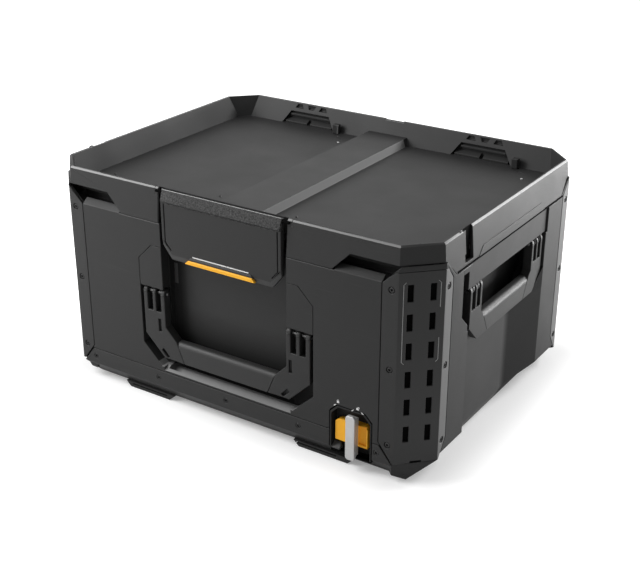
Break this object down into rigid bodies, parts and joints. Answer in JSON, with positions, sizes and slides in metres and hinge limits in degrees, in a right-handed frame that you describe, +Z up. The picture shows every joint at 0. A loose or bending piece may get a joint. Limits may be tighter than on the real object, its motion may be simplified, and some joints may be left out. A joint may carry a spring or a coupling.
{
  "type": "stackable toolbox",
  "caption": "Stackable hard-plastic toolbox with a hinged tray-top lid, front flap latch, folding bail handles, slotted corner guards and a turning stack lock.",
  "frame": {"origin": "on the floor under the middle of the overall box", "axes": "+Z up, +X to the right of the box seen from its front, the front faces -Y"},
  "size_m": [0.57, 0.4414, 0.302],
  "materials": {
    "charcoal_plastic": "fine grained moulded charcoal",
    "guard_plastic": "fine grained moulded black",
    "grip_rubber": "soft moulded black",
    "seal_rubber": "soft foam black",
    "orange_plastic": "satin orange",
    "bright_metal": "satin bright",
    "dark_steel": "blackened",
    "pin_steel": "plain drawn"
  },
  "bodies": {
    "box": {"tub": "charcoal_plastic", "front_base_rail": "charcoal_plastic", "rear_base_rail": "charcoal_plastic", "front_handle_bracket_left": "charcoal_plastic", "front_handle_bracket_right": "charcoal_plastic", "right_handle_mount": "charcoal_plastic", "left_handle_mount": "charcoal_plastic", "corner_guard_front_left": "guard_plastic", "foot_front_left": "grip_rubber", "corner_guard_front_right": "guard_plastic", "foot_front_right": "grip_rubber", "front_rail_screw_1": "dark_steel", "front_rail_screw_2": "dark_steel", "front_rail_screw_3": "dark_steel", "front_rail_screw_4": "dark_steel", "front_rail_screw_5": "dark_steel", "corner_guard_rear_left": "guard_plastic", "foot_rear_left": "grip_rubber", "corner_guard_rear_right": "guard_plastic", "foot_rear_right": "grip_rubber", "rear_rail_screw_1": "dark_steel", "rear_rail_screw_2": "dark_steel", "rear_rail_screw_3": "dark_steel", "rear_rail_screw_4": "dark_steel", "rear_rail_screw_5": "dark_steel", "front_handle_pin_left": "pin_steel", "front_handle_pin_right": "pin_steel", "right_handle_pin_front": "pin_steel", "right_handle_pin_rear": "pin_steel", "left_handle_pin_front": "pin_steel", "left_handle_pin_rear": "pin_steel", "hinge_pin_left": "pin_steel", "hinge_pin_right": "pin_steel", "latch_keeper": "dark_steel", "stack_lock_housing": "guard_plastic"},
    "lid": {"lid_shell": "charcoal_plastic", "lid_seal": "seal_rubber", "stack_stop_left": "guard_plastic", "stack_stop_right": "guard_plastic", "latch_pin": "pin_steel"},
    "latch": {"latch_flap": "charcoal_plastic", "latch_pull_strip": "orange_plastic"},
    "front_handle": {"front_handle_frame": "guard_plastic", "front_handle_grip": "grip_rubber"},
    "right_handle": {"right_handle_frame": "guard_plastic", "right_handle_grip": "grip_rubber"},
    "left_handle": {"left_handle_frame": "guard_plastic", "left_handle_grip": "grip_rubber"},
    "stack_lock": {"stack_lock_cam": "orange_plastic", "stack_lock_lever": "bright_metal", "stack_lock_shaft": "pin_steel"}
  },
  "joints": [
    {"name": "lid_hinge", "type": "hinge", "parent": "box", "child": "lid", "pos_m": [0, 0.21415, 0.252], "axis": [-1, 0, 0], "range_deg": [0, 105]},
    {"name": "latch_hinge", "type": "hinge", "parent": "lid", "child": "latch", "pos_m": [0, -0.21595, 0.298], "axis": [-1, 0, 0], "range_deg": [0, 75]},
    {"name": "front_handle_hinge", "type": "hinge", "parent": "box", "child": "front_handle", "pos_m": [0, -0.21205, 0.157], "axis": [-1, 0, 0], "range_deg": [0, 95]},
    {"name": "right_handle_hinge", "type": "hinge", "parent": "box", "child": "right_handle", "pos_m": [0.2765, -0.00555, 0.2154], "axis": [0, -1, 0], "range_deg": [0, 95]},
    {"name": "left_handle_hinge", "type": "hinge", "parent": "box", "child": "left_handle", "pos_m": [-0.2765, -0.00555, 0.2154], "axis": [0, 1, 0], "range_deg": [0, 95]},
    {"name": "stack_lock_turn", "type": "hinge", "parent": "box", "child": "stack_lock", "pos_m": [0.187, -0.21455, 0.046], "axis": [0, 1, 0], "range_deg": [0, 90]}
  ]
}
